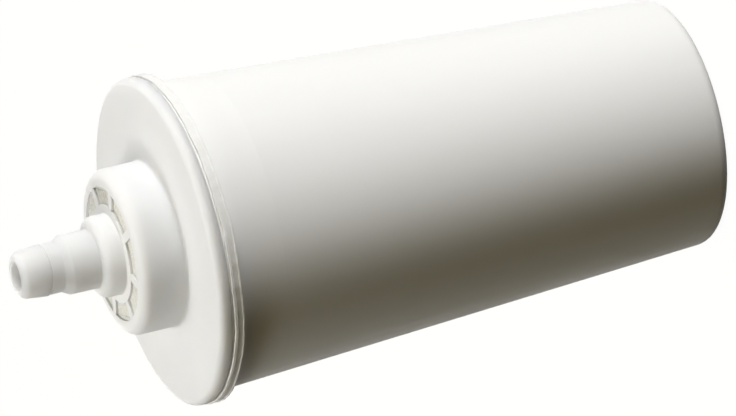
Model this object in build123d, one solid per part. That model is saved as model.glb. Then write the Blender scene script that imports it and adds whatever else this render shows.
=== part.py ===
from build123d import *
import os

# Water filter cartridge for a drinks machine's tank, in millimetres.
# It stands on its closed end with the outlet spigot up; the axis of every piece is +Z.
# Water enters through the windows in the cap's hub, crosses the filter bed to the closed end
# and comes back through the central tube to the spigot.

# Housing: a drafted beaker, closed at its lower end, with a welded rim at its mouth
housing_height = 93.8
flange_overhang = 1.45
base_radius = 21.3
housing_wall = 1.7
floor_thickness = 1.8
base_round = 2.0
floor_round = 1.2
gate_radius = 3.0
gate_depth = 0.4

# Weld rim: two beads of plastic squeezed out at the joint, a flat valley between them
# and a groove under the edge of the cap
weld_height = 2.35
weld_flash = 0.2
lower_bead_width = 0.75
upper_bead_width = 0.5
bead_round = 0.22
valley_depth = 0.3
seam_groove_width = 0.3
seam_groove_depth = 0.55
rim_fillet = 0.3

# Ribs on the housing floor that carry the outlet sieve
floor_rib_count = 6
floor_rib_height = 6.2
floor_rib_width = 1.2
floor_rib_inner_radius = 7.0

# Cap plate and the skirt that centres it in the housing
flange_radius = 28.0
plate_thickness = 2.2
flange_round = 1.2
seam_chamfer = 0.25
skirt_length = 10.8
skirt_wall = 1.4
skirt_clearance = 0.15

# Hub on the cap, with inlet windows in its face
hub_radius = 14.2
hub_height = 8.0
hub_round = 1.8
hub_base_round = 0.4
hub_wall = 2.6
grille_thickness = 1.4
window_width = 3.2
window_count = 8
window_rib_angle = 13.0
window_rib_width = 1.5
window_corner = 0.4

# Spigot, from the hub face to its tip
collar_radius = 6.95
collar_height = 3.6
collar_round = 1.5
spigot_radius = 5.05
spigot_length = 4.9
shoulder_length = 1.4
shoulder_round = 0.4
neck_radius = 4.3
neck_length = 2.6
barb_groove_width = 0.4
barb_groove_depth = 0.25
barb_radius = 4.42
barb_length = 4.7
nose_lip = 1.45
nose_round = 1.35
spigot_bore_radius = 2.5
spigot_root_round = 0.2

# Socket under the cap that takes the return tube
socket_wall = 1.9
socket_reach = 6.0
socket_depth = 11.0
socket_clearance = 0.1

# Return tube, notched where it stands on the housing floor
tube_radius = 4.0
tube_wall = 1.3
tube_notch_count = 4
tube_notch_width = 2.2
tube_notch_height = 3.0

# Sieve plates and fleece around the filter bed
sieve_thickness = 1.6
sieve_slot_count = 20
sieve_slot_width = 0.9
sieve_slot_length = 4.6
sieve_rim = 2.0
sieve_land = 2.0
bed_fleece_thickness = 1.5
hub_fleece_height = 5.4
fleece_recess = 0.4
fleece_pad_clearance = 0.1
inner_clearance = 0.2

# Heights along the axis that the pieces share
cap_face = housing_height + plate_thickness
hub_face = cap_face + hub_height
grille_back = hub_face - grille_thickness
collar_top = hub_face + collar_height
spigot_top = collar_top + spigot_length
neck_base = spigot_top + shoulder_length
barb_base = neck_base + neck_length
tip = barb_base + barb_length
socket_mouth = housing_height - socket_reach
socket_end = socket_mouth + socket_depth
skirt_end = housing_height - skirt_length
outlet_sieve_base = floor_thickness + floor_rib_height
outlet_fleece_base = outlet_sieve_base + sieve_thickness
bed_base = outlet_fleece_base + bed_fleece_thickness
inlet_sieve_base = skirt_end - sieve_thickness
bed_top = inlet_sieve_base - bed_fleece_thickness

# Radii that follow from a fit
mouth_radius = flange_radius - flange_overhang
cavity_radius = hub_radius - hub_wall
core_radius = cavity_radius - window_width
nose_radius = spigot_bore_radius + nose_lip
barb_groove_radius = neck_radius - barb_groove_depth
socket_radius = tube_radius + socket_clearance
tube_hole_radius = tube_radius + inner_clearance
weld_base = housing_height - weld_height
weld_radius = flange_radius + weld_flash
valley_radius = weld_radius - valley_depth
seam_groove_radius = weld_radius - seam_groove_depth


def outside_radius(height):
    """Outer radius of the drafted housing wall at a height."""
    return base_radius + (mouth_radius - base_radius) * height / housing_height


def inside_radius(height):
    """Inner radius of the drafted housing wall at a height."""
    return outside_radius(height) - housing_wall


def turned(*outline):
    """Turn an outline of (radius, height) corners about the axis; a third value rounds the corner."""
    points = [(corner[0], 0, corner[1]) for corner in outline]
    rounds = [corner[2] if len(corner) > 2 else 0 for corner in outline]
    return revolve(make_face(FilletPolyline(*points, radius=rounds, close=True)), Axis.Z)


def around_axis(count, radius, first_angle=0.0):
    """Places evenly spaced round the axis, each turned to face outwards."""
    return PolarLocations(radius, count, first_angle)


def make_housing():
    """The beaker with its weld rim, and the floor ribs moulded in it."""
    groove_base = housing_height - seam_groove_width
    beaker = turned(
        (0, gate_depth),
        (gate_radius, gate_depth),
        (gate_radius, 0),
        (base_radius, 0, base_round),
        (outside_radius(weld_base), weld_base, rim_fillet),
        (weld_radius, weld_base, bead_round),
        (weld_radius, weld_base + lower_bead_width, bead_round),
        (valley_radius, weld_base + lower_bead_width),
        (valley_radius, groove_base - upper_bead_width),
        (weld_radius, groove_base - upper_bead_width, bead_round),
        (weld_radius, groove_base, bead_round),
        (seam_groove_radius, groove_base),
        (seam_groove_radius, housing_height),
        (inside_radius(housing_height), housing_height),
        (inside_radius(floor_thickness), floor_thickness, floor_round),
        (0, floor_thickness),
    )
    rib_end = inside_radius(floor_thickness) + housing_wall / 2
    rib_length = rib_end - floor_rib_inner_radius
    rib = Pos(0, 0, floor_thickness / 2) * Box(
        rib_length,
        floor_rib_width,
        floor_rib_height + floor_thickness / 2,
        align=(Align.CENTER, Align.CENTER, Align.MIN),
    )
    ribs = around_axis(floor_rib_count, floor_rib_inner_radius + rib_length / 2) * rib
    return beaker + ribs


def window_shapes(clearance=0.0):
    """The inlet windows of the hub face: a ring parted by radial ribs, with rounded corners."""
    ring = Circle(cavity_radius - clearance) - Circle(core_radius + clearance)
    rib = Rectangle(hub_radius, window_rib_width + 2 * clearance)
    ribs = around_axis(window_count, hub_radius / 2, window_rib_angle) * rib
    windows = ring - ribs
    return Pos(0, 0, grille_back) * fillet(windows.vertices(), window_corner - clearance)


def make_base_cap():
    """Flange, windowed hub, barbed spigot, centring skirt and tube socket in one moulding."""
    socket_outer = socket_radius + socket_wall
    skirt_top = inside_radius(housing_height) - skirt_clearance
    skirt_bottom = inside_radius(skirt_end) - skirt_clearance
    body = turned(
        (spigot_bore_radius, tip),
        (nose_radius, tip, nose_round),
        (barb_radius, barb_base),
        (barb_groove_radius, barb_base),
        (barb_groove_radius, barb_base - barb_groove_width),
        (neck_radius, barb_base - barb_groove_width),
        (neck_radius, neck_base),
        (spigot_radius, spigot_top, shoulder_round),
        (spigot_radius, collar_top, spigot_root_round),
        (collar_radius, collar_top, collar_round),
        (collar_radius, hub_face, spigot_root_round),
        (hub_radius, hub_face, hub_round),
        (hub_radius, cap_face, hub_base_round),
        (flange_radius, cap_face, flange_round),
        (flange_radius, housing_height + seam_chamfer),
        (flange_radius - seam_chamfer, housing_height),
        (skirt_top, housing_height),
        (skirt_bottom, skirt_end),
        (skirt_bottom - skirt_wall, skirt_end),
        (skirt_top - skirt_wall, housing_height),
        (cavity_radius, housing_height),
        (cavity_radius, grille_back),
        (core_radius, grille_back),
        (core_radius, housing_height),
        (socket_outer, housing_height),
        (socket_outer, socket_mouth),
        (socket_radius, socket_mouth),
        (socket_radius, socket_end),
        (spigot_bore_radius, socket_end),
    )
    return body - extrude(window_shapes(), grille_thickness)


def make_hub_fleece():
    """Felt ring pressed into the hub, with pads that stand in the windows just below the hub face."""
    fleece_base = grille_back - hub_fleece_height
    ring = turned(
        (core_radius + inner_clearance, fleece_base),
        (cavity_radius - inner_clearance, fleece_base),
        (cavity_radius - inner_clearance, grille_back),
        (core_radius + inner_clearance, grille_back),
    )
    return ring + extrude(window_shapes(fleece_pad_clearance), grille_thickness - fleece_recess)


def make_disc(base, thickness):
    """A disc that fills the housing at a height and lets the return tube through."""
    outer = inside_radius(base) - inner_clearance
    return turned(
        (tube_hole_radius, base),
        (outer, base),
        (outer, base + thickness),
        (tube_hole_radius, base + thickness),
    )


def make_sieve(base):
    """Slotted plate that carries one end of the filter bed, with two rings of radial slots."""
    outer_slot = inside_radius(base) - inner_clearance - sieve_rim - sieve_slot_length / 2
    inner_slot = outer_slot - sieve_slot_length - sieve_land
    slot = Rectangle(sieve_slot_length, sieve_slot_width)
    slots = Sketch() + around_axis(sieve_slot_count, outer_slot) * slot
    slots += around_axis(sieve_slot_count // 2, inner_slot) * slot
    return make_disc(base, sieve_thickness) - Pos(0, 0, base) * extrude(slots, sieve_thickness)


def make_granulate_bed():
    """The packed filter granulate, which fills the housing between the two fleece discs."""
    return turned(
        (tube_hole_radius, bed_base),
        (inside_radius(bed_base) - inner_clearance, bed_base),
        (inside_radius(bed_top) - inner_clearance, bed_top),
        (tube_hole_radius, bed_top),
    )


def make_return_tube():
    """Tube from the housing floor to the socket under the cap, notched at its foot."""
    tube = turned(
        (tube_radius - tube_wall, floor_thickness),
        (tube_radius, floor_thickness),
        (tube_radius, socket_end),
        (tube_radius - tube_wall, socket_end),
    )
    notch = Pos(0, 0, floor_thickness) * Box(
        2 * tube_radius,
        tube_notch_width,
        tube_notch_height,
        align=(Align.CENTER, Align.CENTER, Align.MIN),
    )
    return tube - around_axis(tube_notch_count, tube_radius) * notch


pieces = {
    "housing": make_housing(),
    "base_cap": make_base_cap(),
    "hub_fleece": make_hub_fleece(),
    "inlet_sieve": make_sieve(inlet_sieve_base),
    "inlet_fleece": make_disc(bed_top, bed_fleece_thickness),
    "granulate_bed": make_granulate_bed(),
    "outlet_fleece": make_disc(outlet_fleece_base, bed_fleece_thickness),
    "outlet_sieve": make_sieve(outlet_sieve_base),
    "return_tube": make_return_tube(),
}

os.makedirs("parts", exist_ok=True)
for name, solid in pieces.items():
    export_step(solid, f"parts/{name}.step")
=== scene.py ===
"""Looks of a white water filter cartridge: moulded housing, welded cap, felt in its windows."""
import math

import bmesh
import bpy
from bpy.props import FloatProperty, FloatVectorProperty, IntProperty, PointerProperty
from mathutils import Matrix, Quaternion, Vector, noise


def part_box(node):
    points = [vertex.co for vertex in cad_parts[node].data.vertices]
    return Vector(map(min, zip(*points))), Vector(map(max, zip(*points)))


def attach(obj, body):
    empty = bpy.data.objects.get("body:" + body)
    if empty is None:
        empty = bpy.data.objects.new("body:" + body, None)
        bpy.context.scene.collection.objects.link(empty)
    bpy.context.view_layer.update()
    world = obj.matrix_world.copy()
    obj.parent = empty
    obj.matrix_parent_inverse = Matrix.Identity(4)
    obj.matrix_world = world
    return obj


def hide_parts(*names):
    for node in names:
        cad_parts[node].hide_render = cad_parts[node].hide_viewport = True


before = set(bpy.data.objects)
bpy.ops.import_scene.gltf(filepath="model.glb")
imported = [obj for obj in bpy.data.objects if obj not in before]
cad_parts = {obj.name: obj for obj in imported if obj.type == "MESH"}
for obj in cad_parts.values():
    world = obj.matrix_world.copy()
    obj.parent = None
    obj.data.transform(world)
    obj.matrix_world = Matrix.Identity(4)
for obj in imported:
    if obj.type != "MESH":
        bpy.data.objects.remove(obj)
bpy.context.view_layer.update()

bl_info = {
    "name": "Water Filter Cartridge",
    "version": (1, 0, 0),
    "blender": (4, 5, 0),
    "location": "View3D > Sidebar > Filter",
    "description": "Builds a moulded water filter cartridge and a white studio around it",
    "category": "Object",
}

MM = 0.001
FULL_TURN = 2 * math.pi

# Meshes: points that merge, slivers that go, heights that count as one, and sharp edges
MERGE_DISTANCE = 0.002 * MM
SLIVER = 0.001 * MM
SAME_HEIGHT = 0.01 * MM
SHARP_ANGLE = math.radians(32)
FELT_SHARP_ANGLE = math.radians(60)
WINDOW_CORNER_ANGLE = math.radians(45)
WINDOW_EDGE_ANGLE = math.radians(60)

# Moulded plastic: flow clouds, streaks of gloss, grain of the mould, sink waves, light inside
CLOUD_SIZE = 14 * MM
CLOUD_TONES = (0.985, 1.012)
# Painted light: the wall in front of the cap's skirt is painted a little lighter, for light the
# skirt sends back through it
SKIRT_PAINTED_LIGHT_TONE = 1.015
SKIRT_PAINTED_LIGHT_SOFT = 0.15 * MM
STREAK_SIZE = 1.6 * MM
STREAK_SMOOTHER = 0.04
STREAK_ROUGHER = 0.06
GRAIN_SIZE = 0.16 * MM
GRAIN_DEPTH = 0.006 * MM
WAVE_SIZE = 5 * MM
WAVE_DEPTH = 0.02 * MM
MARK_STRENGTH = 0.5
PLASTIC_IOR = 1.49
PLASTIC_SCATTER = (1.0, 0.96, 0.88)
THIN_SCATTER = 0.1
THIN_ABOVE = 0.2 * MM
THIN_SOFT = 0.8 * MM
THICK_RISE = 3 * MM

# Squeezed plastic of the weld: its grain, and its patches, which are duller and warmer
WELD_SOFT = 0.1 * MM
WELD_GRAIN_SIZE = 0.45 * MM
WELD_PATCH_SIZE = 0.9 * MM
WELD_PATCH_START, WELD_PATCH_END = 0.38, 0.62
WELD_TINT = (0.78, 0.74, 0.66)

# Felt: its fibres, painted shade in the pits between them, and light inside
FIBRE_SIZE = 0.12 * MM
FIBRE_STRETCH = 6
FIBRE_DEPTH = 0.12 * MM
FIBRE_STRENGTH = 0.8
# Painted shade in the pits between the felt's fibres, and painted light on the fibres' tops
PIT_SHADE_START, PIT_SHADE_END = 0.42, 0.72
PIT_PAINTED_SHADE_TONE, FIBRE_PAINTED_LIGHT_TONE = 0.72, 1.08
FELT_ROUGHNESS = 0.95
FELT_SHEEN = 0.25
FELT_SCATTER = (1.0, 0.95, 0.85)

# Granulate: round beads of many shades, about a fifth of them carbon
BEAD_SIZE = 0.8 * MM
BEAD_EDGE = 0.7
BEAD_DEPTH = 0.4 * MM
BEAD_ROUGHNESS = 0.4
BEAD_TONES = (0.7, 1.3)
CARBON_START, CARBON_END = 0.78, 0.8

housing_low, housing_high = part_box("housing")
cap_low, cap_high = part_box("base_cap")
fleece_low, fleece_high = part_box("hub_fleece")


def length(name, value, description):
    """A length in metres."""
    return FloatProperty(
        name=name, description=description, default=value, min=0.0, precision=5,
        subtype="DISTANCE", unit="LENGTH",
    )


def angle(name, degrees, description):
    """An angle, kept in radians."""
    return FloatProperty(
        name=name, description=description, default=math.radians(degrees),
        subtype="ANGLE", unit="ROTATION",
    )


def colour(name, value, description):
    """A linear colour."""
    return FloatVectorProperty(
        name=name, description=description, default=value, size=3, min=0.0, max=1.0,
        subtype="COLOR",
    )


def factor(name, value, description):
    """A share between nought and one."""
    return FloatProperty(
        name=name, description=description, default=value, min=0.0, max=1.0, subtype="FACTOR",
    )


def count(name, value, description):
    """A whole number."""
    return IntProperty(name=name, description=description, default=value, min=1)


def direction(name, value, description):
    """A direction from the cartridge."""
    return FloatVectorProperty(
        name=name, description=description, default=value, size=3, subtype="DIRECTION",
    )


def power(name, watts, description):
    """A lamp's power in watts."""
    return FloatProperty(
        name=name, description=description, default=watts, min=0.0, subtype="POWER",
    )


class HousingSizes(bpy.types.PropertyGroup):
    """Sizes of the drafted beaker and of its weld rim."""

    height: length("Height", housing_high[2], "Closed end to the weld seam")
    mouth_radius: length("Mouth radius", 26.55 * MM, "Outer radius of the draft at the seam")
    base_radius: length("Base radius", 21.3 * MM, "Outer radius of the draft at the closed end")
    wall: length("Wall", 1.7 * MM, "Wall thickness")
    floor: length("Floor", 1.8 * MM, "Thickness of the closed end")
    base_round: length("Base round", 2.0 * MM, "Rounding of the closed end's edge")
    floor_round: length("Floor round", 1.2 * MM, "Rounding inside, where the wall meets the floor")
    gate_radius: length("Gate radius", 3.0 * MM, "Radius of the moulding gate's dimple")
    gate_depth: length("Gate depth", 0.4 * MM, "Depth of the moulding gate's dimple")
    gate_round: length("Gate round", 0.25 * MM, "Rounding of the dimple's edges")
    weld_radius: length("Weld radius", housing_high[0], "Outer radius of the weld beads")
    weld_height: length("Weld height", 2.05 * MM, "Height of the weld rim")
    lower_bead: length("Lower bead", 0.35 * MM, "Width of the bead on the housing's side")
    upper_bead: length("Upper bead", 0.4 * MM, "Width of the bead on the cap's side")
    bead_round: length("Bead round", 0.09 * MM, "Rounding of the beads' outer edges")
    valley_depth: length("Valley depth", 0.09 * MM, "Depth of the valley between the beads")
    valley_round: length("Valley round", 0.07 * MM, "Rounding at the valley's foot")
    groove_width: length("Groove width", 0.3 * MM, "Width of the groove under the cap's edge")
    groove_depth: length("Groove depth", 0.55 * MM, "Depth of the groove under the cap's edge")
    rim_fillet: length("Rim fillet", 0.12 * MM, "Rounding where the wall meets the weld rim")
    bead_wander: length("Bead wander", 0.12 * MM, "How far the beads stray from a true circle")
    weld_grain: length("Weld grain", 0.05 * MM, "Roughness of the squeezed plastic")
    # Painted light: the band under the seam is painted lighter, for light the cap's skirt sends
    # back through the wall
    skirt_light_band_height: length("Band height", 10.8 * MM, "Band under the seam that the cap's skirt backs")
    rib_count: count("Floor ribs", 6, "Ribs on the floor, under the outlet sieve")
    rib_height: length("Rib height", 6.2 * MM, "Height of the floor ribs")
    rib_width: length("Rib width", 1.2 * MM, "Width of the floor ribs")
    rib_inner_radius: length("Rib inner radius", 7.0 * MM, "Where the floor ribs start")


class CapSizes(bpy.types.PropertyGroup):
    """Sizes of the cap, its hub and its spigot."""

    tip: length("Tip", cap_high[2], "Height of the spigot's tip")
    skirt_end: length("Skirt end", cap_low[2], "Height of the skirt's lower edge")
    flange_radius: length("Flange radius", cap_high[0], "Radius of the cap's plate")
    plate: length("Plate", 2.2 * MM, "Thickness of the cap's plate")
    flange_round: length("Flange round", 1.2 * MM, "Rounding of the plate's edge")
    seam_round: length("Seam round", 0.25 * MM, "Rounding of the plate at the seam")
    skirt_wall: length("Skirt wall", 1.4 * MM, "Wall of the skirt inside the housing")
    skirt_clearance: length("Skirt clearance", 0.15 * MM, "Room between skirt and housing")
    hub_radius: length("Hub radius", 14.2 * MM, "Outer radius of the hub")
    hub_height: length("Hub height", 8.0 * MM, "Height of the hub over the plate")
    hub_round: length("Hub round", 1.8 * MM, "Rounding of the hub's edge")
    hub_base_round: length("Hub base round", 0.4 * MM, "Rounding at the hub's foot")
    hub_wall: length("Hub wall", 2.6 * MM, "Wall of the hub around its windows")
    grille: length("Grille", 1.4 * MM, "Thickness of the hub's windowed face")
    core_radius: length("Core radius", 8.4 * MM, "Radius of the core inside the windows")
    window_count: count("Windows", 8, "Inlet windows in the hub's face")
    window_rib: length("Window rib", 1.5 * MM, "Width of the ribs between the windows")
    window_rib_angle: angle("Window rib angle", 13.0, "Turn of the first rib about the axis")
    window_corner: length("Window corner", 0.4 * MM, "Rounding of the windows' corners")
    window_edge: length("Window edge", 0.38 * MM, "Soft edge where a window meets the face")
    window_lip: length("Window lip", 0.08 * MM, "Lip left between a window and the wall behind it")
    collar_radius: length("Collar radius", 6.95 * MM, "Radius of the collar at the spigot's foot")
    collar_height: length("Collar height", 3.6 * MM, "Height of the collar over the hub")
    collar_round: length("Collar round", 1.5 * MM, "Rounding of the collar's edge")
    spigot_radius: length("Spigot radius", 5.05 * MM, "Radius of the spigot's sealing cylinder")
    spigot_length: length("Spigot length", 4.9 * MM, "Length of the spigot's sealing cylinder")
    shoulder_length: length("Shoulder", 1.4 * MM, "Length of the cone from cylinder to neck")
    shoulder_round: length("Shoulder round", 0.4 * MM, "Rounding of the cylinder's end")
    neck_radius: length("Neck radius", 4.3 * MM, "Radius of the neck behind the barb")
    neck_length: length("Neck length", 2.6 * MM, "Length of the neck")
    barb_groove_width: length("Barb groove width", 0.4 * MM, "Width of the groove behind the barb")
    barb_groove_depth: length("Barb groove depth", 0.25 * MM, "Depth of the groove behind the barb")
    barb_radius: length("Barb radius", 4.42 * MM, "Radius of the barb's edge")
    barb_round: length("Barb round", 0.06 * MM, "Rounding of the barb's edge")
    nose_radius: length("Nose radius", 3.95 * MM, "Radius of the spigot's tip")
    nose_round: length("Nose round", 1.35 * MM, "Rounding of the tip")
    bore_radius: length("Bore radius", 2.5 * MM, "Radius of the water passage")
    bore_round: length("Bore round", 0.15 * MM, "Rounding of the passage's mouth")
    root_round: length("Root round", 0.2 * MM, "Rounding where the spigot's steps meet")
    socket_radius: length("Socket radius", 4.1 * MM, "Radius of the socket for the return tube")
    socket_wall: length("Socket wall", 1.9 * MM, "Wall of the socket")
    socket_reach: length("Socket reach", 6.0 * MM, "How far the socket stands below the plate")
    socket_depth: length("Socket depth", 11.0 * MM, "Depth of the socket")


class FleeceSizes(bpy.types.PropertyGroup):
    """Sizes of the felt ring in the hub."""

    inner_radius: length("Inner radius", 8.6 * MM, "Hole of the felt ring")
    outer_radius: length("Outer radius", 11.4 * MM, "Outside of the felt ring")
    base: length("Base", fleece_low[2], "Height of the ring's lower face")
    pad_top: length("Pad top", fleece_high[2], "Height of the pads that stand in the windows")
    pad_clearance: length("Pad clearance", 0.03 * MM, "Room between a pad and its window")
    edge_round: length("Edge round", 0.15 * MM, "Softness of the felt's edges")
    pile: length("Pile", 0.12 * MM, "How uneven the felt's surface is")
    pile_scale: length("Pile scale", 0.9 * MM, "Size of the felt's lumps")


class Finish(bpy.types.PropertyGroup):
    """Colours and gloss of the materials."""

    housing_colour: colour("Housing", (0.94, 0.94, 0.925), "White of the housing")
    # The cap's white is darker than the housing's: partly a less reflective plastic, partly painted
    # shade for the main lamp's weaker light on spigot and hub
    cap_white_and_shade: colour("Cap", (0.83, 0.83, 0.82), "White of the cap")
    sieve_colour: colour("Sieve", (0.8, 0.8, 0.77), "Natural plastic of the inner pieces")
    felt_colour: colour("Felt", (0.86, 0.855, 0.775), "Cream of the felt")
    felt_depth: length("Felt depth", 0.8 * MM, "How far light travels inside the felt")
    resin_colour: colour("Resin", (0.42, 0.24, 0.07), "Amber of the resin beads")
    carbon_colour: colour("Carbon", (0.02, 0.02, 0.02), "Black of the carbon grains")
    plastic_roughness: factor("Plastic roughness", 0.48, "Roughness of the moulded plastic")
    plastic_gloss: factor("Plastic gloss", 0.12, "How much the moulded plastic reflects")
    housing_scatter: factor("Housing scatter", 0.2, "Share of light that scatters in the wall")
    housing_depth: length("Housing depth", 1.2 * MM, "How far light travels in the wall")
    cap_scatter: factor("Cap scatter", 1.0, "Share of light that scatters in the cap")
    cap_depth: length("Cap depth", 4.0 * MM, "How far light travels in the cap's plate")
    spigot_depth: length("Spigot depth", 8.0 * MM, "How far light travels in hub and spigot")
    weld_tone: factor("Weld tone", 0.12, "How much darker the squeezed plastic of the weld gets")


class Studio(bpy.types.PropertyGroup):
    """Camera, lamps and floor."""

    camera_reach: length("Camera reach", 1.2713, "How far the camera stands from the axis")
    camera_height: length("Camera height", 0.50536, "Height of the camera over the floor")
    aim_height: length("Aim height", 58.12 * MM, "Height of the point that the camera looks at")
    aim_side: FloatProperty(
        name="Aim side", description="How far beside the axis the camera looks", default=-2.35 * MM,
        precision=5, subtype="DISTANCE", unit="LENGTH",
    )
    roll: angle("Roll", -103.256, "Turn of the picture, so that the cartridge lies across it")
    focal_length: FloatProperty(
        name="Focal length", description="Lens in millimetres", default=391.3, min=1.0,
    )
    sensor_width: FloatProperty(
        name="Sensor width", description="Camera sensor in millimetres", default=36.0, min=1.0,
    )
    sight: length("Sight", 20.0, "How far the camera sees")
    floor_size: length("Floor size", 6.0, "Side of the floor")
    key_from: direction("Key from", (0.868, -0.497, 0.02), "Where the main lamp stands")
    key_distance: length("Key distance", 1.5, "How far away the main lamp stands")
    key_size: length("Key size", 0.8, "Diameter of the main lamp")
    key_power: power("Key power", 36.2, "Power of the main lamp")
    key_tint: colour("Key tint", (1.0, 1.0, 1.0), "Colour of the main lamp")
    over_from: direction("Overhead from", (-0.05, 0.1, 0.99), "Where the overhead lamp hangs")
    over_distance: length("Overhead distance", 1.5, "How far away the overhead lamp hangs")
    over_size: length("Overhead size", 1.5, "Diameter of the overhead lamp")
    over_power: power("Overhead power", 11.1, "Power of the overhead lamp")
    over_tint: colour("Overhead tint", (1.0, 1.0, 1.0), "Colour of the overhead lamp")
    fill_from: direction("Fill from", (-0.375, 0.0, 0.927), "Where the small near lamp stands")
    fill_distance: length("Fill distance", 0.2266, "How far away the small lamp stands")
    fill_size: length("Fill size", 0.1, "Diameter of the small lamp")
    fill_power: power("Fill power", 0.145, "Power of the small lamp")
    fill_tint: colour("Fill tint", (1.0, 1.0, 1.0), "Colour of the small lamp")
    low_from: direction("Low from", (-0.3, -0.4, 0.866), "Where the warm lamp stands")
    low_distance: length("Low distance", 0.8, "How far away the warm lamp stands")
    low_size: length("Low size", 0.5, "Diameter of the warm lamp")
    low_power: power("Low power", 0.58, "Power of the warm lamp")
    low_tint: colour("Low tint", (1.0, 0.85, 0.4), "Colour of the warm lamp")
    back_from: direction("Back from", (-0.1, 0.99, 0.03), "Where the lamp behind stands")
    back_distance: length("Back distance", 1.5, "How far away the lamp behind stands")
    back_size: length("Back size", 0.3, "Diameter of the lamp behind")
    back_power: power("Back power", 1.8, "Power of the lamp behind")
    back_tint: colour("Back tint", (1.0, 0.98, 0.93), "Colour of the lamp behind")
    ambient: colour("Ambient", (0.012, 0.008, 0.001), "Light from all round")
    floor_colour: colour("Floor", (0.08, 0.066, 0.035), "Floor as the cartridge sees it")
    floor_glow: factor("Floor glow", 0.965, "White of the floor in the picture, without the lamps")


def outline(mesh, corners, segments=6):
    """Draw a closed outline of (radius, height) corners; a third value rounds the corner."""
    points = [mesh.verts.new((corner[0], 0.0, corner[1])) for corner in corners]
    for start, end in zip(points, points[1:] + points[:1]):
        mesh.edges.new((start, end))
    spots = [Vector((corner[0], 0.0, corner[1])) for corner in corners]
    for index, corner in enumerate(corners):
        if len(corner) < 3:
            continue
        before = (spots[index - 1] - spots[index]).normalized()
        after = (spots[(index + 1) % len(spots)] - spots[index]).normalized()
        turn = math.pi - before.angle(after)
        bmesh.ops.bevel(
            mesh, geom=[points[index]], offset=corner[2] * math.tan(turn / 2), offset_type="OFFSET",
            segments=segments, profile=0.5, affect="VERTICES", material=-1,
        )


def spin_closed(mesh, steps):
    """Spin an outline once round the axis, close its seam and poles, and clear the axis."""
    bmesh.ops.spin(
        mesh, geom=mesh.verts[:] + mesh.edges[:], cent=(0, 0, 0), axis=(0, 0, 1), dvec=(0, 0, 0),
        angle=FULL_TURN, steps=steps, use_merge=True, use_duplicate=False,
    )
    bmesh.ops.remove_doubles(mesh, verts=mesh.verts[:], dist=MERGE_DISTANCE)
    on_axis = [edge for edge in mesh.edges if not edge.link_faces]
    bmesh.ops.delete(mesh, geom=on_axis, context="EDGES")
    bmesh.ops.recalc_face_normals(mesh, faces=mesh.faces[:])


def smooth_shading(mesh, sharp_angle=SHARP_ANGLE):
    """Smooth all faces, and keep the edges sharp that turn more than an angle."""
    for face in mesh.faces:
        face.smooth = True
    for edge in mesh.edges:
        edge.smooth = edge.calc_face_angle(0.0) < sharp_angle


def edges_at(mesh, height):
    """The edges that lie at a height."""
    return [
        edge for edge in mesh.edges
        if all(abs(vert.co.z - height) < SAME_HEIGHT for vert in edge.verts)
    ]


def soften(mesh, edges, offset, segments):
    """Round edges by a bevel."""
    bmesh.ops.bevel(
        mesh, geom=edges, offset=offset, offset_type="OFFSET", segments=segments, profile=0.5,
        affect="EDGES", clamp_overlap=True, material=-1,
    )


def new_piece(name, mesh, material, node):
    """Make an object of a bmesh that stands for a CAD node, give it the material, and hide the
    node.
    """
    data = bpy.data.meshes.new(name)
    mesh.to_mesh(data)
    mesh.free()
    data.materials.append(material)
    piece = bpy.data.objects.new(name, data)
    bpy.context.scene.collection.objects.link(piece)
    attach(piece, "root")
    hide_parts(node)
    return piece


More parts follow.
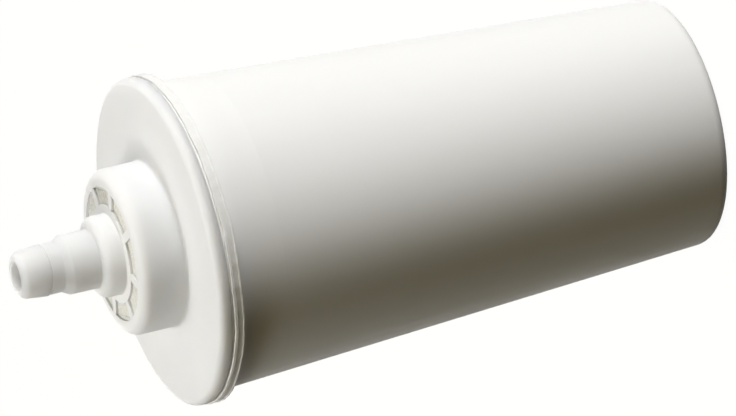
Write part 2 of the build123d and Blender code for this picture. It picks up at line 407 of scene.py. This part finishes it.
class Shader:
    """A material's nodes, added and linked by short calls."""

    # Places of the two colours and of their mix among a Mix node's sockets
    first_colour, second_colour, mixed_colour = 6, 7, 2

    def __init__(self, name):
        self.material = bpy.data.materials.new(name)
        self.material.use_nodes = True
        self.nodes = self.material.node_tree.nodes
        self.links = self.material.node_tree.links
        self.surface = self.nodes["Principled BSDF"]
        self.place = self.node("ShaderNodeTexCoord").outputs["Object"]

    def node(self, kind, **settings):
        made = self.nodes.new(kind)
        for key, value in settings.items():
            setattr(made, key, value)
        return made

    def link(self, source, target):
        self.links.new(source, target)

    def noise(self, size, detail=2.0, stretch=(1, 1, 1)):
        """Noise with lumps of about a given size, drawn out along an axis by a stretch."""
        mapping = self.node("ShaderNodeMapping")
        mapping.inputs["Scale"].default_value = [1 / (size * share) for share in stretch]
        self.link(self.place, mapping.inputs["Vector"])
        texture = self.node("ShaderNodeTexNoise")
        texture.inputs["Scale"].default_value = 1.0
        texture.inputs["Detail"].default_value = detail
        self.link(mapping.outputs["Vector"], texture.inputs["Vector"])
        return texture.outputs["Fac"]

    def spread(self, source, low, high, start=0.3, end=0.7):
        """Map a value from start and end to low and high."""
        ranged = self.node("ShaderNodeMapRange")
        ends = {"From Min": start, "From Max": end, "To Min": low, "To Max": high}
        for key, value in ends.items():
            ranged.inputs[key].default_value = value
        self.link(source, ranged.inputs["Value"])
        return ranged.outputs["Result"]

    def blend(self, share, first, second):
        """Mix two colours, each a socket or a value, by a share."""
        mix = self.node("ShaderNodeMix", data_type="RGBA")
        self.link(share, mix.inputs["Factor"])
        for key, value in ((self.first_colour, first), (self.second_colour, second)):
            if isinstance(value, bpy.types.NodeSocket):
                self.link(value, mix.inputs[key])
            else:
                mix.inputs[key].default_value = (*value, 1.0)
        return mix.outputs[self.mixed_colour]

    def larger(self, first, second):
        """The larger of two values."""
        compared = self.node("ShaderNodeMath", operation="MAXIMUM")
        self.link(first, compared.inputs[0])
        self.link(second, compared.inputs[1])
        return compared.outputs["Value"]

    def bump(self, height, depth, strength=1.0, below=None):
        """Bump from a height in nought to one, over an earlier bump."""
        made = self.node("ShaderNodeBump")
        if isinstance(strength, bpy.types.NodeSocket):
            self.link(strength, made.inputs["Strength"])
        else:
            made.inputs["Strength"].default_value = strength
        made.inputs["Distance"].default_value = depth
        self.link(height, made.inputs["Height"])
        if below is not None:
            self.link(below, made.inputs["Normal"])
        return made.outputs["Normal"]


def shade(colour_value, share):
    """A colour made lighter or darker by a share."""
    return tuple(min(1.0, part * share) for part in colour_value)


def moulded_plastic(
    name, tone, finish, scatter, depth, skirt_light_band=None, weld=None, thin=None, thick=None,
):
    """White moulded polypropylene: fine grain, faint flow marks, uneven gloss and light inside.

    From a height upwards it may be painted a little lighter, which is painted light for the light
    that a part behind the wall sends back through it, or rough as welded plastic is. Between two
    heights it may be so thin that little light scatters in it, and from one height to another
    it may get thicker, so that light travels further in it.
    """
    shader = Shader(name)
    inputs = shader.surface.inputs
    parts = shader.node("ShaderNodeSeparateXYZ")
    shader.link(shader.place, parts.inputs["Vector"])
    height = parts.outputs["Z"]
    cloud = shader.spread(shader.noise(CLOUD_SIZE, detail=3.0, stretch=(1, 1, 3)), 0.0, 1.0)
    colour_socket = shader.blend(cloud, *(shade(tone, share) for share in CLOUD_TONES))
    # Painted light: from a height up the colour is lighter, for light the cap's skirt sends back
    # through the wall
    if skirt_light_band is not None:
        low, soft = skirt_light_band
        painted_skirt_light = shader.spread(height, 0.0, 1.0, low - soft, low + soft)
        colour_socket = shader.blend(painted_skirt_light, colour_socket, shade(tone, SKIRT_PAINTED_LIGHT_TONE))
    streaks = shader.noise(STREAK_SIZE, detail=2.0, stretch=(1, 1, 12))
    rough = finish.plastic_roughness
    gloss = shader.spread(streaks, rough - STREAK_SMOOTHER, rough + STREAK_ROUGHER)
    shader.link(gloss, inputs["Roughness"])
    grain = shader.bump(shader.noise(GRAIN_SIZE, detail=1.0), GRAIN_DEPTH, MARK_STRENGTH)
    sinks = shader.noise(WAVE_SIZE, detail=1.0, stretch=(1, 1, 2))
    waves = shader.bump(sinks, WAVE_DEPTH, MARK_STRENGTH, below=grain)
    if weld is not None:
        low, grain_depth = weld
        welded = shader.spread(height, 0.0, 1.0, low - WELD_SOFT, low + WELD_SOFT)
        squeezed = shader.noise(WELD_GRAIN_SIZE, detail=3.0)
        waves = shader.bump(squeezed, grain_depth, welded, below=waves)
        dull = [part * (1.0 - finish.weld_tone) + finish.weld_tone * part * warm
                for part, warm in zip(tone, WELD_TINT)]
        patches = shader.spread(
            shader.noise(WELD_PATCH_SIZE, detail=4.0), 0.0, 1.0, WELD_PATCH_START, WELD_PATCH_END,
        )
        mottled = shader.blend(patches, dull, tone)
        colour_socket = shader.blend(welded, colour_socket, mottled)
    shader.link(colour_socket, inputs["Base Color"])
    shader.link(waves, inputs["Normal"])
    inputs["IOR"].default_value = PLASTIC_IOR
    inputs["Specular IOR Level"].default_value = finish.plastic_gloss
    inputs["Subsurface Weight"].default_value = scatter
    inputs["Subsurface Radius"].default_value = PLASTIC_SCATTER
    inputs["Subsurface Scale"].default_value = depth
    if thin is not None:
        low, high, soft = thin
        below = shader.spread(height, scatter, THIN_SCATTER, low - soft, low)
        above = shader.spread(height, THIN_SCATTER, scatter, high, high + soft)
        shader.link(shader.larger(below, above), inputs["Subsurface Weight"])
    if thick is not None:
        low, high, further = thick
        travel = shader.spread(height, depth, further, low, high)
        shader.link(travel, inputs["Subsurface Scale"])
    return shader.material


def felt(name, tone, depth):
    """Non-woven felt: fibres both ways, painted shade in the pits between them, light seeping
    through.
    """
    shader = Shader(name)
    inputs = shader.surface.inputs
    across = shader.noise(FIBRE_SIZE, detail=3.0, stretch=(FIBRE_STRETCH, 1, 1))
    along = shader.noise(FIBRE_SIZE, detail=3.0, stretch=(1, FIBRE_STRETCH, 1))
    fibres = shader.larger(across, along)
    # Painted shade: the pits between the fibres are painted darker and the fibres' tops lighter
    pit_shade_mask = shader.spread(fibres, 0.0, 1.0, PIT_SHADE_START, PIT_SHADE_END)
    matted = shader.blend(pit_shade_mask, shade(tone, PIT_PAINTED_SHADE_TONE), shade(tone, FIBRE_PAINTED_LIGHT_TONE))
    shader.link(matted, inputs["Base Color"])
    shader.link(shader.bump(fibres, FIBRE_DEPTH, FIBRE_STRENGTH), inputs["Normal"])
    inputs["Roughness"].default_value = FELT_ROUGHNESS
    inputs["Sheen Weight"].default_value = FELT_SHEEN
    inputs["Subsurface Weight"].default_value = 1.0
    inputs["Subsurface Radius"].default_value = FELT_SCATTER
    inputs["Subsurface Scale"].default_value = depth
    return shader.material


def granulate(name, resin, carbon):
    """Resin beads with some carbon grains among them."""
    shader = Shader(name)
    inputs = shader.surface.inputs
    mapping = shader.node("ShaderNodeMapping")
    mapping.inputs["Scale"].default_value = (1 / BEAD_SIZE,) * 3
    shader.link(shader.place, mapping.inputs["Vector"])
    beads = shader.node("ShaderNodeTexVoronoi")
    beads.inputs["Scale"].default_value = 1.0
    shader.link(mapping.outputs["Vector"], beads.inputs["Vector"])
    chance = shader.node("ShaderNodeSeparateColor")
    shader.link(beads.outputs["Color"], chance.inputs["Color"])
    is_carbon = shader.spread(chance.outputs["Red"], 0.0, 1.0, CARBON_START, CARBON_END)
    amber = shader.blend(chance.outputs["Green"], *(shade(resin, share) for share in BEAD_TONES))
    shader.link(shader.blend(is_carbon, amber, carbon), inputs["Base Color"])
    domes = shader.spread(beads.outputs["Distance"], 1.0, 0.0, 0.0, BEAD_EDGE)
    shader.link(shader.bump(domes, BEAD_DEPTH), inputs["Normal"])
    inputs["Roughness"].default_value = BEAD_ROUGHNESS
    return shader.material


def window_prisms(mesh, cap, low, high, margin=0.0, arc_steps=36, corner_steps=5):
    """Fill every window of the hub's face with a prism, smaller than the window by a margin."""
    half_rib = cap.window_rib / 2
    inner = cap.core_radius + cap.window_lip - half_rib
    outer = cap.hub_radius - cap.hub_wall - cap.window_lip + half_rib
    ends = [mesh.verts.new((radius, 0.0, low)) for radius in (inner, outer)]
    side = mesh.edges.new(ends)
    sector = FULL_TURN / cap.window_count
    bmesh.ops.spin(
        mesh, geom=ends + [side], cent=(0, 0, 0), axis=(0, 0, 1), dvec=(0, 0, 0), angle=sector,
        steps=arc_steps, use_merge=False, use_duplicate=False,
    )
    bmesh.ops.dissolve_faces(mesh, faces=mesh.faces[:])
    rim = bmesh.ops.inset_individual(
        mesh, faces=mesh.faces[:], thickness=half_rib + margin, use_even_offset=True
    )
    bmesh.ops.delete(mesh, geom=rim["faces"], context="FACES")
    corners = [vert for vert in mesh.verts if vert.calc_edge_angle(0.0) > WINDOW_CORNER_ANGLE]
    bmesh.ops.bevel(
        mesh, geom=corners, offset=cap.window_corner, offset_type="OFFSET", segments=corner_steps,
        profile=0.5, affect="VERTICES", material=-1,
    )
    raised = bmesh.ops.extrude_face_region(mesh, geom=mesh.faces[:], use_keep_orig=True)
    tops = [item for item in raised["geom"] if isinstance(item, bmesh.types.BMVert)]
    bmesh.ops.translate(mesh, verts=tops, vec=(0, 0, high - low))
    turn = Matrix.Rotation(cap.window_rib_angle, 3, "Z")
    bmesh.ops.rotate(mesh, verts=mesh.verts[:], cent=(0, 0, 0), matrix=turn)
    bmesh.ops.spin(
        mesh, geom=mesh.verts[:] + mesh.edges[:] + mesh.faces[:], cent=(0, 0, 0), axis=(0, 0, 1),
        dvec=(0, 0, 0), angle=FULL_TURN - sector, steps=cap.window_count - 1, use_merge=False,
        use_duplicate=True,
    )
    bmesh.ops.recalc_face_normals(mesh, faces=mesh.faces[:])


class FILTER_OT_housing(bpy.types.Operator):
    """Spin the drafted beaker with its wavy weld beads, and stand the ribs on its floor"""

    bl_idname = "filter.housing"
    bl_label = "Housing"

    steps = 384

    # Wander of the beads in and out, and their drift up and down
    wander_size = 2.3 * MM
    wander_fine_size = 0.8 * MM
    wander_fine_share = 0.6
    wander_inset = 0.35
    wander_squash = 0.6
    wander_from_root = 0.6 * MM
    drift_size = 5.2 * MM
    drift_offset = Vector((7, 3, 5))
    drift_fine_size = 1.1 * MM
    drift_fine_share = 0.4
    drift_share = 2

    def execute(self, context):
        sizes = context.scene.filter_housing
        finish = context.scene.filter_finish
        mesh = bmesh.new()
        self.draw_beaker(mesh, sizes)
        spin_closed(mesh, self.steps)
        self.squeeze_beads(mesh, sizes)
        self.add_ribs(mesh, sizes)
        smooth_shading(mesh)
        # Painted light on the band under the seam, where the cap's skirt backs the wall
        skirt_light_band = (sizes.height - sizes.skirt_light_band_height, SKIRT_PAINTED_LIGHT_SOFT)
        weld = (sizes.height - sizes.weld_height, sizes.weld_grain)
        material = moulded_plastic(
            "housing_plastic", finish.housing_colour, finish,
            finish.housing_scatter, finish.housing_depth, skirt_light_band=skirt_light_band, weld=weld,
        )
        new_piece("housing_shell", mesh, material, "housing")
        return {"FINISHED"}

    @staticmethod
    def outside(sizes, height):
        """Outer radius of the drafted wall at a height."""
        return sizes.base_radius + (sizes.mouth_radius - sizes.base_radius) * height / sizes.height

    def draw_beaker(self, mesh, sizes):
        weld_base = sizes.height - sizes.weld_height
        lower_end = weld_base + sizes.lower_bead
        groove = sizes.height - sizes.groove_width
        upper_end = groove - sizes.upper_bead
        valley = sizes.weld_radius - sizes.valley_depth
        inner_mouth = self.outside(sizes, sizes.height) - sizes.wall
        inner_foot = self.outside(sizes, sizes.floor) - sizes.wall
        outline(mesh, (
            (0.0, sizes.gate_depth),
            (sizes.gate_radius, sizes.gate_depth, sizes.gate_round / 2),
            (sizes.gate_radius, 0.0, sizes.gate_round / 2),
            (sizes.base_radius, 0.0, sizes.base_round),
            (self.outside(sizes, weld_base), weld_base, sizes.rim_fillet),
            (sizes.weld_radius, weld_base, sizes.bead_round),
            (sizes.weld_radius, lower_end, sizes.bead_round),
            (valley, lower_end, sizes.valley_round),
            (valley, upper_end, sizes.valley_round),
            (sizes.weld_radius, upper_end, sizes.bead_round),
            (sizes.weld_radius, groove, sizes.bead_round),
            (sizes.weld_radius - sizes.groove_depth, groove),
            (sizes.weld_radius - sizes.groove_depth, sizes.height),
            (inner_mouth, sizes.height),
            (inner_foot, sizes.floor, sizes.floor_round),
            (0.0, sizes.floor),
        ))

    def squeeze_beads(self, mesh, sizes):
        """Let the two beads wander inwards and up and down, as squeezed plastic does."""
        weld_base = sizes.height - sizes.weld_height
        root = self.outside(sizes, weld_base) + sizes.rim_fillet
        ceiling = sizes.height - 0.5 * sizes.groove_width
        for vert in mesh.verts:
            radius = math.hypot(vert.co.x, vert.co.y)
            if radius < root or vert.co.z < weld_base:
                continue
            around = vert.co.copy()
            around.z *= self.wander_squash
            coarse = noise.noise(around / self.wander_size)
            fine = noise.noise(around / self.wander_fine_size)
            out = coarse + self.wander_fine_share * fine
            share = min(1.0, (radius - root) / self.wander_from_root)
            flat = Vector((vert.co.x, vert.co.y, 0.0)).normalized()
            vert.co += flat * min(0.0, (out - self.wander_inset) * sizes.bead_wander) * share
            if vert.co.z < ceiling:
                coarse = noise.noise(around / self.drift_size + self.drift_offset)
                fine = noise.noise(around / self.drift_fine_size)
                drift = coarse + self.drift_fine_share * fine
                room = ceiling - vert.co.z
                vert.co.z += min(room, drift * self.drift_share * sizes.bead_wander * share)

    def add_ribs(self, mesh, sizes):
        """Plates that stand on the floor and reach into the wall."""
        end = self.outside(sizes, sizes.floor) - sizes.wall / 2
        reach = end - sizes.rib_inner_radius
        low = sizes.floor / 2
        high = sizes.floor + sizes.rib_height
        for index in range(sizes.rib_count):
            turn = Matrix.Rotation(FULL_TURN * index / sizes.rib_count, 4, "Z")
            place = Matrix.Translation((sizes.rib_inner_radius + reach / 2, 0.0, (low + high) / 2))
            size = Matrix.Diagonal((reach, sizes.rib_width, high - low, 1.0))
            bmesh.ops.create_cube(mesh, size=1.0, matrix=turn @ place @ size)


class FILTER_OT_base_cap(bpy.types.Operator):
    """Spin the cap with its hub and spigot, and cut the inlet windows through the hub's face"""

    bl_idname = "filter.base_cap"
    bl_label = "Base cap"

    steps = 320

    def execute(self, context):
        sizes = context.scene.filter_cap
        housing = context.scene.filter_housing
        finish = context.scene.filter_finish
        self.heights(sizes, housing)
        body = bmesh.new()
        self.draw_body(body, sizes, housing)
        spin_closed(body, self.steps)
        cutter = bmesh.new()
        cut_base = self.grille_back - sizes.window_lip
        window_prisms(cutter, sizes, cut_base, self.hub_face + sizes.grille)
        mesh = self.cut(body, cutter)
        self.soften_windows(mesh, sizes)
        smooth_shading(mesh)
        thin = (self.grille_back, self.hub_face + THIN_ABOVE, THIN_SOFT)
        thick = (self.face, self.face + THICK_RISE, finish.spigot_depth)
        # The cap's colour carries painted shade as well as its own white
        material = moulded_plastic(
            "cap_plastic", finish.cap_white_and_shade, finish,
            finish.cap_scatter, finish.cap_depth, thin=thin, thick=thick,
        )
        new_piece("cap_moulding", mesh, material, "base_cap")
        return {"FINISHED"}

    def heights(self, sizes, housing):
        """Heights that the outline and the windows share."""
        self.seam = housing.height
        self.face = self.seam + sizes.plate
        self.hub_face = self.face + sizes.hub_height
        self.grille_back = self.hub_face - sizes.grille

    def draw_body(self, mesh, sizes, housing):
        collar_top = self.hub_face + sizes.collar_height
        spigot_top = collar_top + sizes.spigot_length
        neck_base = spigot_top + sizes.shoulder_length
        barb_base = neck_base + sizes.neck_length
        barb_groove = sizes.neck_radius - sizes.barb_groove_depth
        neck_end = barb_base - sizes.barb_groove_width
        socket_mouth = self.seam - sizes.socket_reach
        socket_end = socket_mouth + sizes.socket_depth
        socket_outer = sizes.socket_radius + sizes.socket_wall
        cavity = sizes.hub_radius - sizes.hub_wall
        inset = housing.wall + sizes.skirt_clearance
        skirt_top = FILTER_OT_housing.outside(housing, self.seam) - inset
        skirt_low = FILTER_OT_housing.outside(housing, sizes.skirt_end) - inset
        outline(mesh, (
            (sizes.bore_radius, sizes.tip, sizes.bore_round),
            (sizes.nose_radius, sizes.tip, sizes.nose_round),
            (sizes.barb_radius, barb_base, sizes.barb_round),
            (barb_groove, barb_base, sizes.barb_round),
            (barb_groove, neck_end, sizes.barb_round),
            (sizes.neck_radius, neck_end, sizes.barb_round),
            (sizes.neck_radius, neck_base, sizes.root_round),
            (sizes.spigot_radius, spigot_top, sizes.shoulder_round),
            (sizes.spigot_radius, collar_top, sizes.root_round),
            (sizes.collar_radius, collar_top, sizes.collar_round),
            (sizes.collar_radius, self.hub_face, sizes.root_round),
            (sizes.hub_radius, self.hub_face, sizes.hub_round),
            (sizes.hub_radius, self.face, sizes.hub_base_round),
            (sizes.flange_radius, self.face, sizes.flange_round),
            (sizes.flange_radius, self.seam, sizes.seam_round),
            (skirt_top, self.seam),
            (skirt_low, sizes.skirt_end),
            (skirt_low - sizes.skirt_wall, sizes.skirt_end),
            (skirt_top - sizes.skirt_wall, self.seam),
            (cavity, self.seam),
            (cavity, self.grille_back),
            (sizes.core_radius, self.grille_back),
            (sizes.core_radius, self.seam),
            (socket_outer, self.seam),
            (socket_outer, socket_mouth),
            (sizes.socket_radius, socket_mouth),
            (sizes.socket_radius, socket_end),
            (sizes.bore_radius, socket_end),
        ))

    @staticmethod
    def cut(body, cutter):
        """The body less the cutter, as a new bmesh."""
        objects = []
        for name, mesh in (("uncut_cap", body), ("window_cutter", cutter)):
            data = bpy.data.meshes.new(name)
            mesh.to_mesh(data)
            mesh.free()
            objects.append(bpy.data.objects.new(name, data))
            bpy.context.scene.collection.objects.link(objects[-1])
        boolean = objects[0].modifiers.new("windows", "BOOLEAN")
        boolean.object = objects[1]
        boolean.operation = "DIFFERENCE"
        boolean.solver = "EXACT"
        graph = bpy.context.evaluated_depsgraph_get()
        result = bmesh.new()
        result.from_object(objects[0], graph)
        for item in objects:
            data = item.data
            bpy.data.objects.remove(item)
            bpy.data.meshes.remove(data)
        return result

    def soften_windows(self, mesh, sizes):
        """Round the edges where the windows meet the hub's face."""
        edges = [
            edge for edge in edges_at(mesh, self.hub_face)
            if edge.calc_face_angle(0.0) > WINDOW_EDGE_ANGLE
        ]
        if not edges:
            raise RuntimeError("the windows were not cut through the hub's face")
        soften(mesh, edges, sizes.window_edge, segments=3)
        bmesh.ops.dissolve_degenerate(mesh, edges=mesh.edges[:], dist=SLIVER)


class FILTER_OT_hub_fleece(bpy.types.Operator):
    """Spin the lumpy felt ring that lies behind the windows, and stand a pad in each window"""

    bl_idname = "filter.hub_fleece"
    bl_label = "Hub fleece"

    steps = 300
    rings = 10
    long_edge = 1 * MM
    fine_scale = 0.4
    fine_share = 0.5
    lump_floor = 0.5

    def execute(self, context):
        sizes = context.scene.filter_fleece
        cap = context.scene.filter_cap
        grille_back = context.scene.filter_housing.height + cap.plate + cap.hub_height - cap.grille
        mesh = bmesh.new()
        self.draw_pads(mesh, sizes, cap, grille_back)
        ring = bmesh.new()
        self.draw_ring(ring, sizes, grille_back)
        joined = bpy.data.meshes.new("felt_ring")
        ring.to_mesh(joined)
        ring.free()
        mesh.from_mesh(joined)
        bpy.data.meshes.remove(joined)
        smooth_shading(mesh, FELT_SHARP_ANGLE)
        finish = context.scene.filter_finish
        material = felt("fleece", finish.felt_colour, finish.felt_depth)
        new_piece("hub_felt", mesh, material, "hub_fleece")
        return {"FINISHED"}

    def draw_ring(self, mesh, sizes, top):
        """The ring, lumpy as felt is."""
        soft = sizes.edge_round
        outline(mesh, (
            (sizes.inner_radius, sizes.base, soft),
            (sizes.outer_radius, sizes.base, soft),
            (sizes.outer_radius, top, soft),
            (sizes.inner_radius, top, soft),
        ))
        long_edges = [edge for edge in mesh.edges if edge.calc_length() > self.long_edge]
        bmesh.ops.subdivide_edges(mesh, edges=long_edges, cuts=self.rings)
        spin_closed(mesh, self.steps)
        mesh.normal_update()
        for vert in mesh.verts:
            coarse = noise.noise(vert.co / sizes.pile_scale)
            fine = noise.noise(vert.co / (self.fine_scale * sizes.pile_scale))
            lump = coarse + self.fine_share * fine
            vert.co -= vert.normal * sizes.pile * max(0.0, lump + self.lump_floor)

    @staticmethod
    def draw_pads(mesh, sizes, cap, ring_top):
        """Pads that the ring presses into the windows, with soft upper edges."""
        pad_base = ring_top - sizes.edge_round
        window_prisms(mesh, cap, pad_base, sizes.pad_top, sizes.pad_clearance)
        soften(mesh, edges_at(mesh, sizes.pad_top), sizes.edge_round, segments=4)


class FILTER_OT_inner_pieces(bpy.types.Operator):
    """Give the sieves, the tube, the fleece discs and the bed inside the housing their materials"""

    bl_idname = "filter.inner_pieces"
    bl_label = "Inner pieces"

    def execute(self, context):
        finish = context.scene.filter_finish
        natural = moulded_plastic(
            "sieve_plastic", finish.sieve_colour, finish,
            finish.housing_scatter, finish.housing_depth,
        )
        matted = felt("bed_fleece", finish.felt_colour, finish.felt_depth)
        packed = granulate("granulate", finish.resin_colour, finish.carbon_colour)
        for material, nodes in (
            (natural, ("inlet_sieve", "outlet_sieve", "return_tube")),
            (matted, ("inlet_fleece", "outlet_fleece")),
            (packed, ("granulate_bed",)),
        ):
            for node in nodes:
                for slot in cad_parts[node].material_slots:
                    slot.material = material
        return {"FINISHED"}


class FILTER_OT_stage(bpy.types.Operator):
    """Lay a white floor, light it and set up the camera"""

    bl_idname = "filter.stage"
    bl_label = "Stage"

    def execute(self, context):
        studio = context.scene.filter_studio
        context.scene.view_settings.view_transform = "Standard"
        self.add_floor(context, studio)
        self.light_world(context, studio)
        middle = Vector((0.0, 0.0, (housing_low[2] + cap_high[2]) / 2))
        for name in ("key", "over", "fill", "low", "back"):
            self.add_lamp(context, name, middle, studio)
        self.add_camera(context, studio)
        return {"FINISHED"}

    @staticmethod
    def seen_directly(tree):
        """One for camera, glossy and transmission rays, which see the white background."""
        path = tree.nodes.new("ShaderNodeLightPath")
        first = tree.nodes.new("ShaderNodeMath")
        first.operation = "MAXIMUM"
        second = tree.nodes.new("ShaderNodeMath")
        second.operation = "MAXIMUM"
        tree.links.new(path.outputs["Is Camera Ray"], first.inputs[0])
        tree.links.new(path.outputs["Is Glossy Ray"], first.inputs[1])
        tree.links.new(first.outputs["Value"], second.inputs[0])
        tree.links.new(path.outputs["Is Transmission Ray"], second.inputs[1])
        return second.outputs["Value"]

    def add_floor(self, context, studio):
        mesh = bmesh.new()
        bmesh.ops.create_grid(mesh, x_segments=8, y_segments=8, size=studio.floor_size / 2)
        data = bpy.data.meshes.new("floor")
        mesh.to_mesh(data)
        mesh.free()
        floor = bpy.data.objects.new("floor", data)
        context.scene.collection.objects.link(floor)
        material = bpy.data.materials.new("floor")
        material.use_nodes = True
        tree = material.node_tree
        tree.nodes.clear()
        grey = tree.nodes.new("ShaderNodeBsdfDiffuse")
        grey.inputs["Color"].default_value = (*studio.floor_colour, 1.0)
        glow = tree.nodes.new("ShaderNodeEmission")
        share = tree.nodes.new("ShaderNodeMath")
        share.operation = "MULTIPLY"
        share.inputs[1].default_value = studio.floor_glow
        tree.links.new(self.seen_directly(tree), share.inputs[0])
        tree.links.new(share.outputs["Value"], glow.inputs["Strength"])
        both = tree.nodes.new("ShaderNodeAddShader")
        tree.links.new(grey.outputs["BSDF"], both.inputs[0])
        tree.links.new(glow.outputs["Emission"], both.inputs[1])
        end = tree.nodes.new("ShaderNodeOutputMaterial")
        tree.links.new(both.outputs["Shader"], end.inputs["Surface"])
        data.materials.append(material)

    def light_world(self, context, studio):
        world = bpy.data.worlds.new("studio")
        world.use_nodes = True
        tree = world.node_tree
        tree.nodes.clear()
        around = tree.nodes.new("ShaderNodeBackground")
        around.inputs["Color"].default_value = (*studio.ambient, 1.0)
        white = tree.nodes.new("ShaderNodeBackground")
        white.inputs["Color"].default_value = (1.0, 1.0, 1.0, 1.0)
        choice = tree.nodes.new("ShaderNodeMixShader")
        tree.links.new(self.seen_directly(tree), choice.inputs["Fac"])
        tree.links.new(around.outputs["Background"], choice.inputs[1])
        tree.links.new(white.outputs["Background"], choice.inputs[2])
        end = tree.nodes.new("ShaderNodeOutputWorld")
        tree.links.new(choice.outputs["Shader"], end.inputs["Surface"])
        context.scene.world = world

    @staticmethod
    def add_lamp(context, name, target, studio):
        """A round lamp that stands in its direction from the target and faces it."""
        towards = Vector(getattr(studio, f"{name}_from")).normalized()
        data = bpy.data.lights.new(name, "AREA")
        data.shape = "DISK"
        data.size = getattr(studio, f"{name}_size")
        data.energy = getattr(studio, f"{name}_power")
        data.color = getattr(studio, f"{name}_tint")
        lamp = bpy.data.objects.new(name, data)
        lamp.location = target + towards * getattr(studio, f"{name}_distance")
        lamp.rotation_euler = towards.to_track_quat("Z", "Y").to_euler()
        context.scene.collection.objects.link(lamp)

    @staticmethod
    def add_camera(context, studio):
        """A long lens in front, rolled so that the standing cartridge lies across the picture."""
        data = bpy.data.cameras.new("camera")
        data.sensor_width = studio.sensor_width
        data.lens = studio.focal_length
        data.clip_end = studio.sight
        camera = bpy.data.objects.new("camera", data)
        camera.location = (0.0, -studio.camera_reach, studio.camera_height)
        view = Vector((studio.aim_side, 0.0, studio.aim_height)) - camera.location
        upright = view.to_track_quat("-Z", "Y")
        camera.rotation_euler = (upright @ Quaternion((0.0, 0.0, 1.0), studio.roll)).to_euler()
        context.scene.collection.objects.link(camera)
        context.scene.camera = camera


class FILTER_PT_cartridge(bpy.types.Panel):
    """Sizes, finishes and steps of the cartridge"""

    bl_label = "Water Filter Cartridge"
    bl_idname = "FILTER_PT_cartridge"
    bl_space_type = "VIEW_3D"
    bl_region_type = "UI"
    bl_category = "Filter"

    def draw(self, context):
        for step in STEPS:
            self.layout.operator(step.bl_idname)
        for name, group in GROUPS.items():
            box = self.layout.box()
            box.label(text=group.__doc__)
            for key in group.__annotations__:
                box.prop(getattr(context.scene, name), key)


GROUPS = {
    "filter_housing": HousingSizes,
    "filter_cap": CapSizes,
    "filter_fleece": FleeceSizes,
    "filter_finish": Finish,
    "filter_studio": Studio,
}
STEPS = (
    FILTER_OT_stage,
    FILTER_OT_housing,
    FILTER_OT_base_cap,
    FILTER_OT_hub_fleece,
    FILTER_OT_inner_pieces,
)
CLASSES = (*GROUPS.values(), *STEPS, FILTER_PT_cartridge)


def register():
    for item in CLASSES:
        bpy.utils.register_class(item)
    for name, group in GROUPS.items():
        setattr(bpy.types.Scene, name, PointerProperty(type=group))


def unregister():
    for name in GROUPS:
        delattr(bpy.types.Scene, name)
    for item in reversed(CLASSES):
        bpy.utils.unregister_class(item)


def main():
    """Build the stage and every piece."""
    register()
    bpy.ops.filter.stage()
    bpy.ops.filter.housing()
    bpy.ops.filter.base_cap()
    bpy.ops.filter.hub_fleece()
    bpy.ops.filter.inner_pieces()


if __name__ == "__main__":
    main()
